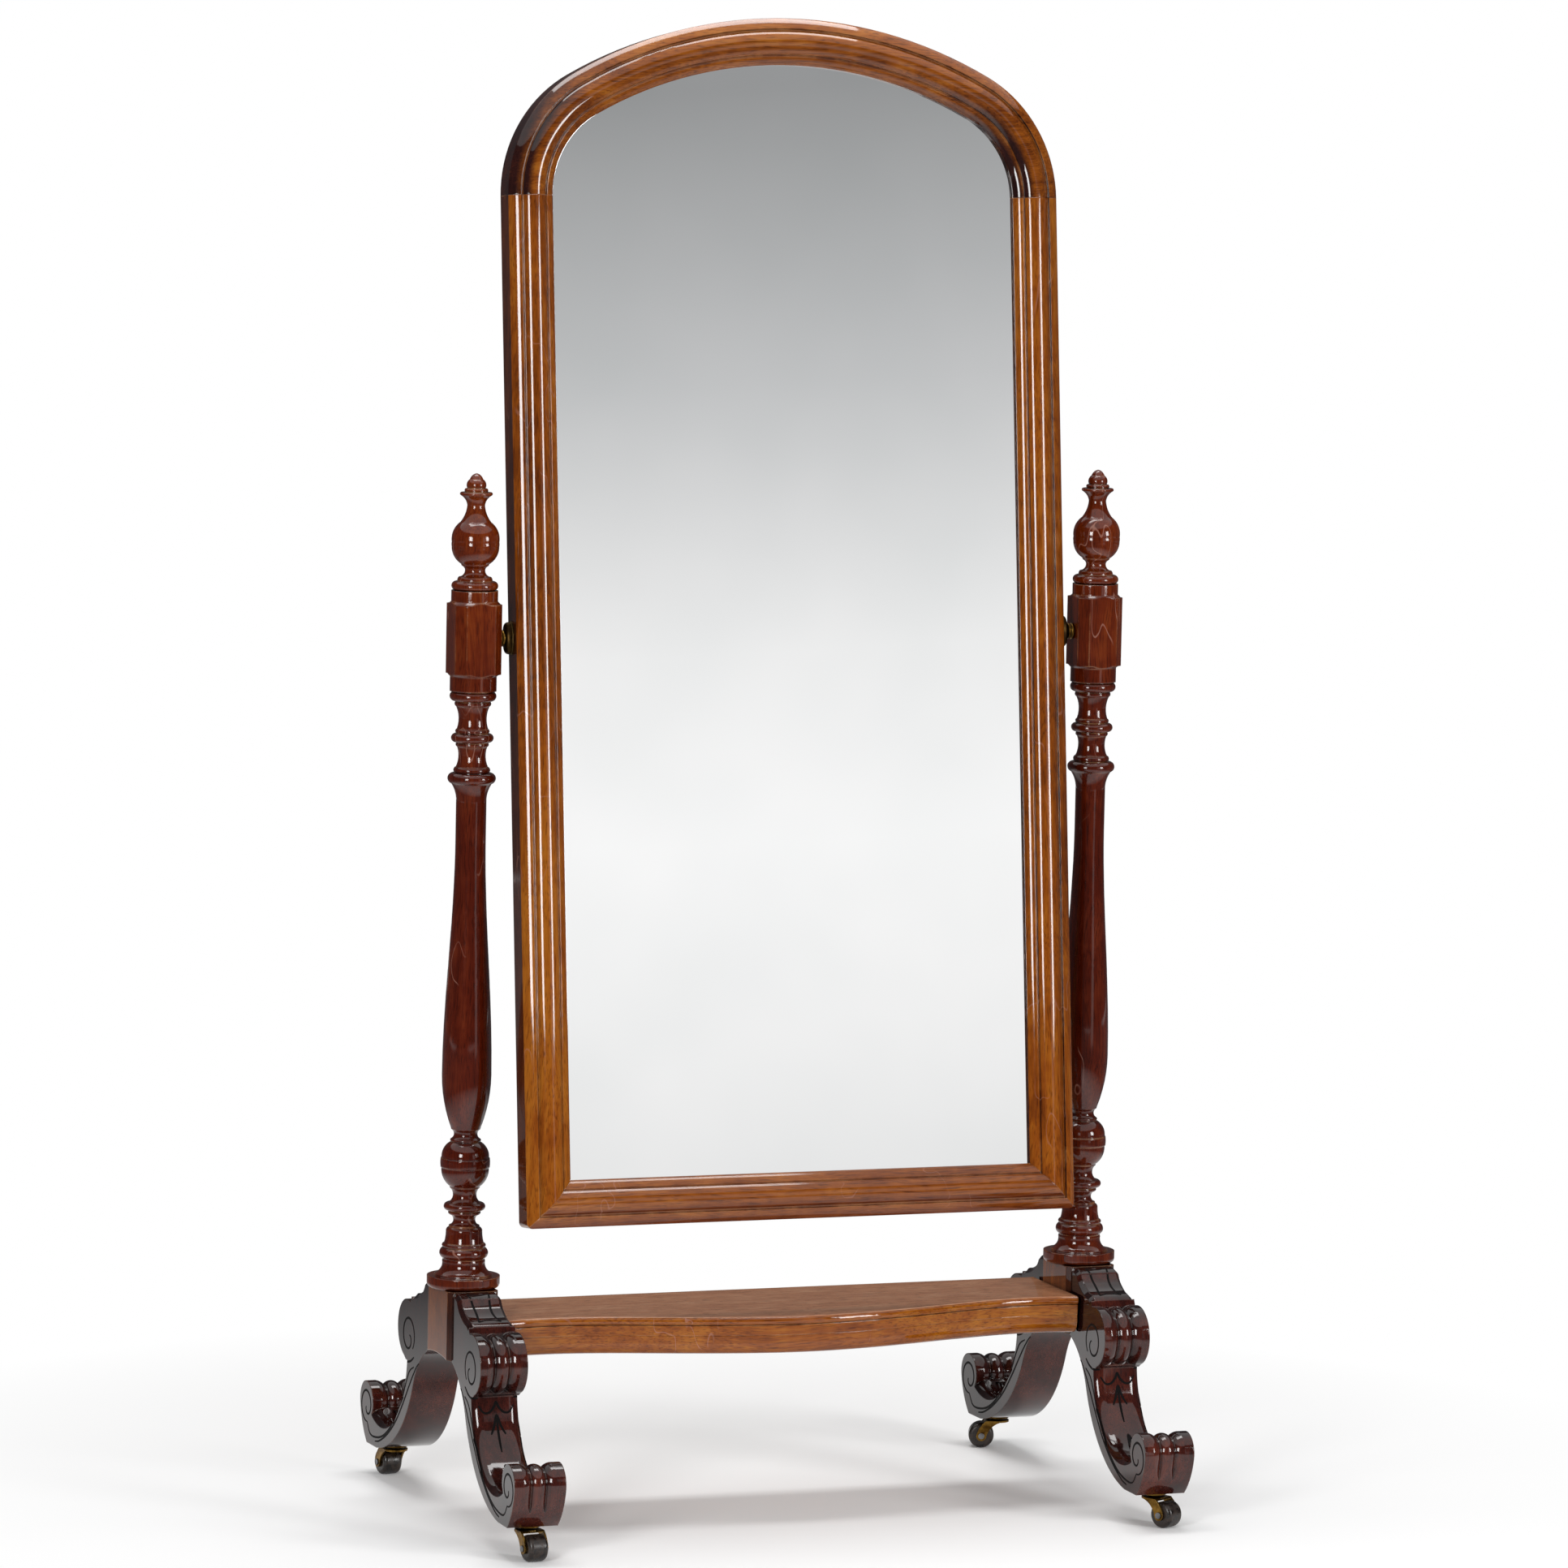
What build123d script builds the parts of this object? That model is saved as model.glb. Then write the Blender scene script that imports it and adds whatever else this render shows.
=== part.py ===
from build123d import *
from math import atan2, cos, degrees, radians, sin
import os

# Cheval mirror, in millimetres. The origin is on the floor midway between the two standards.
# +Z is up, +X is to the right of someone who looks into the glass, and the glass faces -Y.

# Stand
pivot_height = 1064.0
base_block_top = 281.5
castor_reach = 257.0
leg_foot_height = 41.0

# Framed mirror, upright before it is tilted
frame_half_width = 352.6
frame_below_pivot = 706.0
frame_spring_height = 528.5
arch_rise = 215.5
arch_side_radius = 168.0
frame_depth = 30.0
frame_forward = 18.0
frame_corner_radius = 7.0
rest_tilt = 6.4

# Moulding of the frame: widths in from the outer edge, heights in front of it
moulding_width = 56.5
outer_member_width = 13.2
outer_member_height = 9.6
quirk_width = 2.8
torus_end = 44.0
torus_foot_height = 7.6
inner_member_start = 46.7
inner_edge_drop = 2.0
outer_member_round = 1.3
quirk_depth = 2.2
quirk_rise = 1.6
torus_round = 7.2
inner_quirk_depth = 1.8
inner_member_round = 1.2
glass_setback = 6.5
glass_rebate_width = 8.0
board_rebate_width = 18.0
board_rebate_depth = 8.0

# Glass and what holds it
glass_thickness = 4.0
glass_clearance = 1.0
board_clearance = 0.5
glass_block_length = 50.0
glass_block_width = 6.5
glass_block_step = 400.0
glass_block_lowest = 500.0
glass_block_reach = 150.0
board_screw_step = 300.0
board_screw_reach = 180.0

# Standard: block at the pivot
pivot_block_width = 58.0
pivot_block_corner = 11.0
pivot_block_height = 90.0
pivot_block_bevel = 3.0
cylinder_radius = 28.0

# Standard: turnings
disc_radius = 44.0
disc_round = 3.0
shaft_foot_radius = 18.0
shaft_swell_radius = 29.8
shaft_swell_height = 64.0
shaft_top_radius = 18.2
shaft_swell_round = 2.9
shaft_straight = 46.0
finial_foot_radius = 23.0
finial_tip_radius = 1.0
cylinder_over_block = 13.0
tenon_radius = 19.0
tenon_length = 60.0
spigot_radius = 7.0
spigot_length = 25.0

# Base block
base_block_width = 63.6
base_block_depth = 88.0
base_block_height = 84.0
base_block_corner = 7.0
base_block_belly = 4.5

# Scroll leg: widths across it at the block and at the toe, and depths below the top of the block
leg_head_width = 55.0
leg_toe_width = 64.0
leg_back_drop = 84.0
panel_width = 46.0
panel_flank = 9.0
upper_scroll_reach = 126.0
upper_scroll_drop = 72.5
upper_scroll_radius = 36.5
upper_roll_start = 107.0
upper_roll_end = -71.0
lower_scroll_reach = 278.4
lower_scroll_rise = 51.6
lower_scroll_radius = 25.0
lower_roll_start = 193.0
lower_roll_end = -11.0
foot_start = 238.0
foot_end = 276.0
toe_run = 28.0
dowel_radius = 6.0
dowel_length = 40.0
dowel_drop = 24.5
dowel_step = 36.0

# Scroll leg: the outline's other points, as reaches out from the standard and drops below the block
head_steps = [(66.0, 4.5, 2.0), (77.5, 16.5, -1.6), (99.0, 24.5, -1.2), (112.0, 30.5, 1.4)]
shin_start = (131.5, 111.0)
shin_bend = (184.4, 194.5)
back_bend = (103.0, 139.5)

# Scroll leg: reeds round both scrolls, and the rounding of the shin's corners
reed_width = 18.5
reed_edge = 50.0
reed_depth = 6.0
reed_hollow = 2.2
shin_corner = 15.0

# Shelf
shelf_top = 251.0
shelf_bead_height = 10.5
shelf_band_height = 12.0
shelf_band_setback = 2.0
shelf_rail_height = 24.0
shelf_rail_thickness = 22.0
shelf_back = 68.0
shelf_end_depth = 80.0
shelf_waist_depth = 75.0
shelf_waist_at = 295.0
shelf_swell_depth = 97.0
shelf_swell_at = 190.0
shelf_bow_depth = 131.0
back_rail_thickness = 18.0
cleat_width = 18.0
cleat_length = 96.0
cleat_screw_reach = 26.0
cleat_screw_step = 12.0
shelf_rail_setback = 2.5
shelf_rail_round = 14.0

# Pivot fittings
collar_length = 8.3
boss_height = 41.0
boss_width = 23.4
boss_thickness = 9.8
boss_plinth = 2.0
pin_radius = 4.0
pin_reach = 36.0
pin_in_stile = 24.0
bush_length = 40.0
collar_radius = 10.0
bush_radius = 6.5
ring_round = 1.4
boss_rim = 1.2
boss_round = 5.5
running_fit = 0.05
turning_gap = 0.3

# Castor
wheel_radius = 16.0
wheel_width = 25.0
wheel_round = 5.0
wheel_side_gap = 0.5
castor_trail = 20.0
axle_radius = 2.5
axle_head_radius = 3.8
axle_head = 1.2
cheek_thickness = 2.5
cheek_eye_radius = 6.5
crown_radius = 15.0
crown_thickness = 3.4
neck_radius = 7.0
neck_height = 2.0
swivel_pin_radius = 3.5
rivet_radius = 5.0
rivet_height = 2.5
rivet_recess_gap = 1.0
surface_overrun = 2.0
plate_radius = 15.25
plate_thickness = 2.5
swivel_gap = 0.1
crown_slope = 2.4
cheek_back = 3.0
cheek_front = 14.0
cheek_swell = 3.0
wheel_gap = 1.2

# Wood screws
screw_head_radius = 3.2
screw_head_height = 1.8
screw_radius = 1.7
plate_screw_circle = 11.2
plate_screw_length = 14.0
board_screw_length = 20.0
cleat_screw_length = 32.0

# Headings of the four castors at rest: the way each wheel trails, in degrees from -Y towards +X
castor_headings = {
    "left_front": 7.0,
    "right_front": 28.0,
    "left_back": 188.0,
    "right_back": -110.0,
}

# Sizes that follow from the ones above
standard_x = frame_half_width + boss_thickness + turning_gap + collar_length + pivot_block_width / 2
block_inner_face = standard_x - base_block_width / 2
shelf_half_length = block_inner_face
shelf_band_bottom = shelf_top - shelf_bead_height - shelf_band_height
shelf_bottom = shelf_band_bottom - shelf_rail_height
side_centre = frame_half_width - arch_side_radius
crown_arc_radius = (side_centre**2 + arch_rise**2 - arch_side_radius**2) / (2 * (arch_rise - arch_side_radius))
crown_centre = frame_spring_height + arch_rise - crown_arc_radius
side_arc_angle = degrees(atan2(frame_spring_height - crown_centre, side_centre))
block_bottom = pivot_height - pivot_block_height / 2
block_top = pivot_height + pivot_block_height / 2

glass_face = -glass_setback
glass_back = glass_face - glass_thickness
board_front = board_rebate_depth - frame_depth
glass_inset = moulding_width - glass_rebate_width + glass_clearance
board_inset = moulding_width - board_rebate_width + board_clearance

sides = (("left", -1), ("right", 1))

os.makedirs("parts", exist_ok=True)


def finish(part, name):
    """Label a finished piece and write it."""
    part.label = name
    export_step(part, "parts/" + name + ".step")


def turning(start, members):
    """Draw half the outline of a turning upwards from start, inside an open BuildLine.

    Each member is (rise, radius, swell): how far it climbs, the radius that it ends on, and how far
    its arc stands out from the straight line between its ends. A hollow has a negative swell.
    """
    here = start
    for rise, radius, swell in members:
        there = (radius, here[1] + rise)
        if swell:
            SagittaArc(here, there, -swell)
        else:
            Line(here, there)
        here = there
    return here


def height_of(members):
    """Height that a list of members climbs."""
    return sum(member[0] for member in members)


def plate_screw_places():
    """Places of the three screws of a castor plate, from its underside up."""
    return [
        Location((plate_screw_circle * cos(turn), plate_screw_circle * sin(turn), -plate_thickness), (180, 0, 0))
        for turn in (radians(30), radians(150), radians(270))
    ]


def board_screw_places():
    """Places of the screws that go up through the cleats into the shelf board."""
    return [
        Location((side * (block_inner_face - cleat_width / 2), y, shelf_bottom), (180, 0, 0))
        for side in (-1, 1)
        for y in (-cleat_screw_reach - cleat_screw_step, cleat_screw_reach + cleat_screw_step)
    ]


def block_screw_places(side):
    """Places of the screws that go outward through a cleat into its base block."""
    height = shelf_bottom + shelf_rail_height / 2
    return [
        Location((side * (block_inner_face - cleat_width), y, height), (0, -side * 90, 0))
        for y in (-cleat_screw_reach, cleat_screw_reach)
    ]


def dowel_places(end):
    """Places of the two dowels between a base block and the leg at its front (1) or back (-1)."""
    return [
        Location((0, -end * base_block_depth / 2, base_block_top - drop), (90, 0, 0))
        for drop in (dowel_drop, dowel_drop + dowel_step)
    ]


# Wood screw, head up, with the top of its head at the origin
def wood_screw(length):
    with BuildPart() as screw:
        with BuildSketch(Plane.XZ):
            with BuildLine():
                Polyline(
                    (0, 0),
                    (screw_head_radius, 0),
                    (screw_radius, -screw_head_height),
                    (screw_radius, screw_radius - length),
                    (0, -length),
                    close=True,
                )
            make_face()
        revolve(axis=Axis.Z)
    return screw.part


plate_screw = wood_screw(plate_screw_length)
board_screw = wood_screw(board_screw_length)
cleat_screw = wood_screw(cleat_screw_length)

# Turnings of the standard, each from the bottom up as (rise, end radius, swell)
foot_members = [
    (5.0, disc_radius, 0.8),
    (8.8, disc_radius, 0),
    (0, 35.0, 0),
    (2.2, 35.0, 0),
    (15.5, 26.0, -3.4),
    (3.0, 25.0, 0),
    (13.5, 25.0, 4.4),
    (5.0, 24.0, 2.0),
    (14.0, 21.9, -0.5),
    (5.5, 18.5, 1.2),
    (2.0, 18.5, 0),
    (13.0, 17.2, -4.6),
    (5.3, 17.2, 2.4),
    (0, 20.5, 0),
    (9.4, 20.5, 4.6),
    (0, 19.4, 0),
    (18.0, 18.1, -4.6),
    (1.5, 18.1, 0),
    (23.5, 28.6, 3.4),
    (0, 29.6, 0),
    (11.0, 29.6, 0.4),
    (0, 28.6, 0),
    (20.0, 17.4, 3.6),
    (3.5, 17.4, 1.2),
    (11.5, 17.5, -3.3),
    (2.0, shaft_foot_radius, 0),
]
head_members = [
    (23.0, 24.4, -2.0),
    (12.6, 24.4, 4.6),
    (0, 20.3, 0),
    (7.0, 20.3, 1.8),
    (0, 19.5, 0),
    (24.5, 18.0, -2.4),
    (5.5, 18.0, 1.9),
    (0, 21.0, 0),
    (10.5, 21.0, 4.5),
    (0, 18.8, 0),
    (5.5, 18.8, 1.8),
    (27.0, 20.0, -2.6),
    (6.5, 20.0, 2.0),
    (0, 23.0, 0),
    (12.0, 23.0, 5.0),
    (0, cylinder_radius, 0),
    (17.6, cylinder_radius, 0),
]
finial_members = [
    (11.0, 23.0, 5.0),
    (0, 21.0, 0),
    (5.0, 19.5, 0.6),
    (9.0, 12.2, -2.5),
    (4.0, 15.5, -0.6),
    (2.5, 16.9, 0.3),
    (21.0, 28.4, 3.2),
    (5.0, 28.4, 0.3),
    (24.0, 18.5, 3.6),
    (20.0, 10.6, -1.6),
    (12.0, 18.6, -1.8),
    (3.6, 18.6, 1.0),
    (0, 13.0, 0),
    (4.6, 13.0, 1.2),
    (0, 10.8, 0),
    (11.0, 8.0, 2.2),
    (7.0, finial_tip_radius, 1.2),
]
taper_start = base_block_top + height_of(foot_members) + shaft_swell_height
taper_end = block_bottom - height_of(head_members) - shaft_straight
finial_seat = block_top + cylinder_over_block


# Octagonal block that the mirror hangs in, its ends turned to a bevel
with BuildPart() as pivot_block:
    with BuildSketch(Plane.XY.offset(block_bottom)):
        square = Rectangle(pivot_block_width, pivot_block_width)
        chamfer(square.vertices(), pivot_block_corner)
    extrude(amount=pivot_block_height)
    with BuildSketch(Plane.XZ):
        with BuildLine():
            Polyline(
                (0, block_bottom),
                (cylinder_radius, block_bottom),
                (cylinder_radius + pivot_block_bevel, block_bottom + pivot_block_bevel),
                (pivot_block_width, block_bottom + pivot_block_bevel),
                (pivot_block_width, block_top - pivot_block_bevel),
                (cylinder_radius + pivot_block_bevel, block_top - pivot_block_bevel),
                (cylinder_radius, block_top),
                (0, block_top),
                close=True,
            )
        make_face()
    revolve(axis=Axis.Z, mode=Mode.INTERSECT)

# Standard on its own axis: tenon, turned foot, tapered shaft, block and the cylinder over it
with BuildPart() as standard_pattern:
    with BuildSketch(Plane.XZ):
        with BuildLine():
            foot_edge = (disc_radius - disc_round, base_block_top)
            Polyline(
                (0, base_block_top - tenon_length),
                (tenon_radius, base_block_top - tenon_length),
                (tenon_radius, base_block_top),
                foot_edge,
            )
            shaft_foot = turning(foot_edge, foot_members)
            swell = (shaft_swell_radius, taper_start)
            SagittaArc(shaft_foot, swell, -shaft_swell_round)
            Spline(swell, (shaft_top_radius, taper_end), tangents=((0, 1), (0, 1)))
            neck = (shaft_top_radius, taper_end + shaft_straight)
            Line((shaft_top_radius, taper_end), neck)
            shoulder = turning(neck, head_members)
            Polyline(shoulder, (cylinder_radius, finial_seat), (0, finial_seat))
            Line((0, finial_seat), (0, base_block_top - tenon_length))
        make_face()
    revolve(axis=Axis.Z)
    add(pivot_block.part)
    with Locations((0, 0, finial_seat)):
        Hole(spigot_radius, spigot_length)

# Finial: torus, small necks, vase and acorn, with a spigot into the standard
with BuildPart() as finial_pattern:
    with BuildSketch(Plane.XZ):
        with BuildLine():
            Polyline(
                (0, finial_seat - spigot_length),
                (spigot_radius, finial_seat - spigot_length),
                (spigot_radius, finial_seat),
                (finial_foot_radius, finial_seat),
            )
            tip = turning((finial_foot_radius, finial_seat), finial_members)
            Polyline(tip, (0, tip[1]), (0, finial_seat - spigot_length))
        make_face()
    revolve(axis=Axis.Z)

# Block that a standard, two legs and the shelf meet in
with BuildPart() as base_block_pattern:
    with BuildSketch(Plane.YZ):
        with BuildLine():
            low = base_block_top - base_block_height
            half = base_block_depth / 2
            Polyline((-half, low), (-half, base_block_top), (half, base_block_top), (half, low))
            SagittaArc((half, low), (-half, low), -base_block_belly)
        make_face()
    extrude(amount=base_block_width / 2, both=True)
    chamfer(base_block_pattern.edges().filter_by(Axis.Z), base_block_corner)
    with Locations((0, 0, base_block_top)):
        Hole(tenon_radius, tenon_length)
    with Locations(*dowel_places(1), *dowel_places(-1)):
        Cylinder(dowel_radius, dowel_length, mode=Mode.SUBTRACT)

# Dowels that hold two legs to a base block
with BuildPart() as dowel_pattern:
    with Locations(*dowel_places(1), *dowel_places(-1)):
        Cylinder(dowel_radius, dowel_length)

# Scroll leg that points to the front, drawn from its side as (reach, height)
leg_side = Plane(origin=(0, 0, 0), x_dir=(0, -1, 0), z_dir=(-1, 0, 0))
leg_face = base_block_depth / 2
leg_half = leg_toe_width / 2
upper_scroll = (upper_scroll_reach, base_block_top - upper_scroll_drop)
lower_scroll = (lower_scroll_reach, leg_foot_height + lower_scroll_rise)


def below_block(reach, drop):
    """Point of the leg's outline, by its depth below the top of the base block."""
    return (reach, base_block_top - drop)


def upper_roll():
    """Front of the upper scroll, from under the panel round to the top of the shin."""
    return CenterArc(upper_scroll, upper_scroll_radius, upper_roll_start, upper_roll_end - upper_roll_start)


def lower_roll():
    """Round of the lower scroll, from the end of the shin over its top to the toe."""
    return CenterArc(lower_scroll, lower_scroll_radius, lower_roll_start, lower_roll_end - lower_roll_start)


def shin_front():
    """Two tangent arcs down the front of the shin, ending on the lower scroll."""
    bend = below_block(*shin_bend)
    end = (
        lower_scroll[0] + lower_scroll_radius * cos(radians(lower_roll_start)),
        lower_scroll[1] + lower_scroll_radius * sin(radians(lower_roll_start)),
    )
    lower = TangentArc(bend, end, tangent=(shin_heading[0], shin_heading[1]))
    upper = TangentArc(bend, below_block(*shin_start), tangent=(-shin_heading[0], -shin_heading[1]))
    return upper, lower


shin_heading = (cos(radians(-30)), sin(radians(-30)))


def across(path):
    """Plane across the start of a path in the leg's side: x across the leg, y out from its surface."""
    return Plane(origin=path @ 0, x_dir=(1, 0, 0), z_dir=path % 0)


def reed_tool():
    """Section that is planed out round a scroll, leaving a flange, a hollow, a reed, a hollow and a flange."""
    with BuildSketch() as section:
        with BuildLine():
            valley = (reed_width / 2, -reed_depth)
            other_valley = (-reed_width / 2, -reed_depth)
            edge, other_edge = (reed_edge / 2, 0), (-reed_edge / 2, 0)
            SagittaArc(other_edge, other_valley, reed_hollow)
            ThreePointArc(other_valley, (0, -surface_overrun / 2), valley)
            SagittaArc(valley, edge, reed_hollow)
            Polyline(edge, (reed_edge / 2, surface_overrun), (-reed_edge / 2, surface_overrun), other_edge)
        make_face()
    return section.sketch


def corner_tool():
    """Section that is planed off both corners of the shin to round them."""
    with BuildSketch() as section:
        with BuildLine():
            flat = leg_half - shin_corner
            beyond = leg_half + surface_overrun
            RadiusArc((leg_half, -shin_corner), (flat, 0), -shin_corner)
            Polyline((flat, 0), (flat, surface_overrun), (beyond, surface_overrun), (beyond, -shin_corner))
            Line((beyond, -shin_corner), (leg_half, -shin_corner))
        make_face()
        mirror(about=Plane.YZ)
    return section.sketch


def flank_tool():
    """Section that is planed off both sides of the head, leaving the panel between two sloped flanks."""
    with BuildSketch() as section:
        with BuildLine():
            beyond = leg_half + surface_overrun
            depth = panel_flank * (beyond - panel_width / 2) / (leg_half - panel_width / 2)
            Polyline(
                (panel_width / 2, 0),
                (panel_width / 2, surface_overrun),
                (beyond, surface_overrun),
                (beyond, -depth),
                close=True,
            )
        make_face()
        mirror(about=Plane.YZ)
    return section.sketch


with BuildPart() as leg_pattern:
    with BuildSketch(leg_side):
        with BuildLine():
            head = Line((leg_face, base_block_top - leg_back_drop), (leg_face, base_block_top - 1))
            here = head @ 1
            for reach, drop, swell in head_steps:
                there = below_block(reach, drop)
                SagittaArc(here, there, swell)
                here = there
            roll = upper_roll()
            Line(here, roll @ 0)
            shin = shin_front()
            Line(roll @ 1, shin[0] @ 1)
            scroll = lower_roll()
            TangentArc(scroll @ 1, (foot_end, leg_foot_height), tangent=scroll % 1)
            Line((foot_end, leg_foot_height), (foot_start, leg_foot_height))
            back = TangentArc((leg_face, base_block_top - leg_back_drop), below_block(*back_bend), tangent=(0.94, -0.34))
            TangentArc(back @ 1, (foot_start, leg_foot_height), tangent=back % 1)
        make_face()
    extrude(amount=leg_half, both=True)

    # The leg widens from the block to its toe
    with BuildSketch(Plane.XY):
        toe = lower_scroll_reach + lower_scroll_radius
        with BuildLine():
            Polyline(
                (-leg_head_width / 2, 0),
                (-leg_head_width / 2, -leg_face),
                (-leg_half, -toe),
                (leg_half, -toe),
                (leg_head_width / 2, -leg_face),
                (leg_head_width / 2, 0),
                close=True,
            )
        make_face()
    extrude(amount=base_block_top, mode=Mode.INTERSECT)

    # Flanks of the head
    with BuildLine(leg_side) as head_path:
        here = (leg_face, base_block_top - 1)
        for reach, drop, swell in head_steps:
            there = below_block(reach, drop)
            SagittaArc(here, there, swell)
            here = there
    with BuildSketch(across(head_path.wire())):
        add(flank_tool())
    sweep(path=head_path.wire(), transition=Transition.RIGHT, mode=Mode.SUBTRACT)

    # Rounded corners of the shin, then the full round of the lower scroll again
    with BuildLine(leg_side) as shin_path:
        shin_front()
    with BuildSketch(across(shin_path.wire())):
        add(corner_tool())
    sweep(path=shin_path.wire(), mode=Mode.SUBTRACT)

    # Reeds round the scrolls, the lower ones running out down the toe
    with BuildLine(leg_side) as upper_path:
        upper_roll()
    with BuildSketch(across(upper_path.wire())):
        add(reed_tool())
    sweep(path=upper_path.wire(), mode=Mode.SUBTRACT)
    with BuildLine(leg_side) as lower_path:
        roll = lower_roll()
        Line(roll @ 1, roll @ 1 + toe_run * (roll % 1))
    with BuildSketch(across(lower_path.wire())):
        add(reed_tool())
    sweep(path=lower_path.wire(), mode=Mode.SUBTRACT)

    # Holes for the dowels, the castor's pin and its screws
    with Locations(*dowel_places(1)):
        Cylinder(dowel_radius, dowel_length, mode=Mode.SUBTRACT)
    with Locations((0, -castor_reach, leg_foot_height)):
        Cylinder(
            rivet_radius + rivet_recess_gap,
            rivet_height + rivet_recess_gap,
            align=(Align.CENTER, Align.CENTER, Align.MIN),
            mode=Mode.SUBTRACT,
        )
        with Locations(*plate_screw_places()):
            add(plate_screw, mode=Mode.SUBTRACT)


def shelf_front(setback):
    """Serpentine line of the shelf's front edge, moved back by setback."""
    return Spline(
        (-shelf_half_length, setback - shelf_end_depth),
        (-shelf_waist_at, setback - shelf_waist_depth),
        (-shelf_swell_at, setback - shelf_swell_depth),
        (0, setback - shelf_bow_depth),
        (shelf_swell_at, setback - shelf_swell_depth),
        (shelf_waist_at, setback - shelf_waist_depth),
        (shelf_half_length, setback - shelf_end_depth),
    )


# Shelf board: a round bead along the top of its serpentine edge, and a flat band below
with BuildPart() as shelf_board:
    for setback, thickness, bottom in (
        (0, shelf_bead_height, shelf_top - shelf_bead_height),
        (shelf_band_setback, shelf_band_height, shelf_band_bottom),
    ):
        with BuildSketch(Plane.XY.offset(bottom)):
            with BuildLine():
                front = shelf_front(setback)
                Polyline(front @ 1, (shelf_half_length, shelf_back), (-shelf_half_length, shelf_back), front @ 0)
            make_face()
        extrude(amount=thickness)
        if setback == 0:
            fillet(shelf_board.edges().filter_by(GeomType.BSPLINE), shelf_bead_height / 2 - 0.2)
    with Locations(*board_screw_places()):
        add(cleat_screw, mode=Mode.SUBTRACT)
finish(shelf_board.part, "shelf_board")

# Shaped rail under the front of the shelf, its lower edge turned under
with BuildPart() as shelf_front_rail:
    with BuildSketch(Plane.XY.offset(shelf_bottom)):
        with BuildLine():
            front = shelf_front(shelf_rail_setback)
            back = shelf_front(shelf_rail_setback + shelf_rail_thickness)
            Line(front @ 0, back @ 0)
            Line(front @ 1, back @ 1)
        make_face()
    extrude(amount=shelf_rail_height)
    lower_front = shelf_front_rail.edges().filter_by(GeomType.BSPLINE).group_by(Axis.Z)[0].sort_by(Axis.Y)[0]
    fillet(lower_front, shelf_rail_round)
finish(shelf_front_rail.part, "shelf_front_rail")

# Plain rail under the back of the shelf
with BuildPart() as shelf_back_rail:
    with Locations((0, shelf_back, shelf_bottom)):
        Box(
            2 * shelf_half_length,
            back_rail_thickness,
            shelf_rail_height,
            align=(Align.CENTER, Align.MAX, Align.MIN),
        )
finish(shelf_back_rail.part, "shelf_back_rail")

# Cleats that carry the ends of the shelf on the base blocks
for name, side in sides:
    with BuildPart() as cleat:
        with Locations((side * (block_inner_face - cleat_width / 2), 0, shelf_bottom)):
            Box(
                cleat_width,
                cleat_length,
                shelf_rail_height,
                align=(Align.CENTER, Align.CENTER, Align.MIN),
            )
        with Locations(*block_screw_places(side), *board_screw_places()):
            add(cleat_screw, mode=Mode.SUBTRACT)
    finish(cleat.part, name + "_shelf_cleat")

with BuildPart() as shelf_screws:
    with Locations(*block_screw_places(-1), *block_screw_places(1), *board_screw_places()):
        add(cleat_screw)
finish(shelf_screws.part, "shelf_screws")

# The stand's blocks, legs and standards stand on either side
for name, side in sides:
    place = Location((side * standard_x, 0, 0))
    with BuildPart() as base_block:
        with Locations(place):
            add(base_block_pattern.part)
        with Locations(*block_screw_places(side)):
            add(cleat_screw, mode=Mode.SUBTRACT)
    finish(base_block.part, name + "_base_block")

    with BuildPart() as dowels:
        with Locations(place):
            add(dowel_pattern.part)
    finish(dowels.part, name + "_leg_dowels")

    with BuildPart() as post:
        with Locations(place):
            add(standard_pattern.part)
        with Locations(Location((side * (standard_x - pivot_block_width / 2), 0, pivot_height), (0, side * 90, 0))):
            Cylinder(
                bush_radius,
                bush_length,
                align=(Align.CENTER, Align.CENTER, Align.MIN),
                mode=Mode.SUBTRACT,
            )
    finish(post.part, name + "_standard")

    with BuildPart() as finial:
        with Locations(place):
            add(finial_pattern.part)
    finish(finial.part, name + "_finial")

    for end, turn in (("front", 0), ("back", 180)):
        with BuildPart() as leg:
            with Locations(Location((side * standard_x, 0, 0), (0, 0, turn))):
                add(leg_pattern.part)
        finish(leg.part, name + "_" + end + "_leg")


# Framed mirror. Its own plane stands on the pivot axis, x to the right, y up along the frame and
# z forward, and is tipped back by the rest tilt.
tilt = radians(rest_tilt)
mirror_plane = Plane(origin=(0, 0, pivot_height), x_dir=(1, 0, 0), z_dir=(0, -cos(tilt), sin(tilt)))
face_plane = mirror_plane.offset(frame_forward)
back_plane = face_plane.offset(-frame_depth)
frame_right, frame_up = mirror_plane.x_dir, mirror_plane.y_dir


def board_fixing_places():
    """Places of the screws of the backboard, heads at the back and points forward."""
    inset = moulding_width - (board_rebate_width + glass_rebate_width) / 2
    half = frame_half_width - inset
    crown = crown_arc_radius - inset
    points = [(side * half, y * board_screw_step) for side in (-1, 1) for y in (-1.5, -0.5, 0.5, 1.5)]
    points += [(x * board_screw_reach, inset - frame_below_pivot) for x in (-1, 0, 1)]
    points += [
        (crown * sin(radians(turn)), crown_centre + crown * cos(radians(turn))) for turn in (-18, 0, 18)
    ]
    return [back_plane.location * Location((x, y, 0), (180, 0, 0)) for x, y in points]


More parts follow.
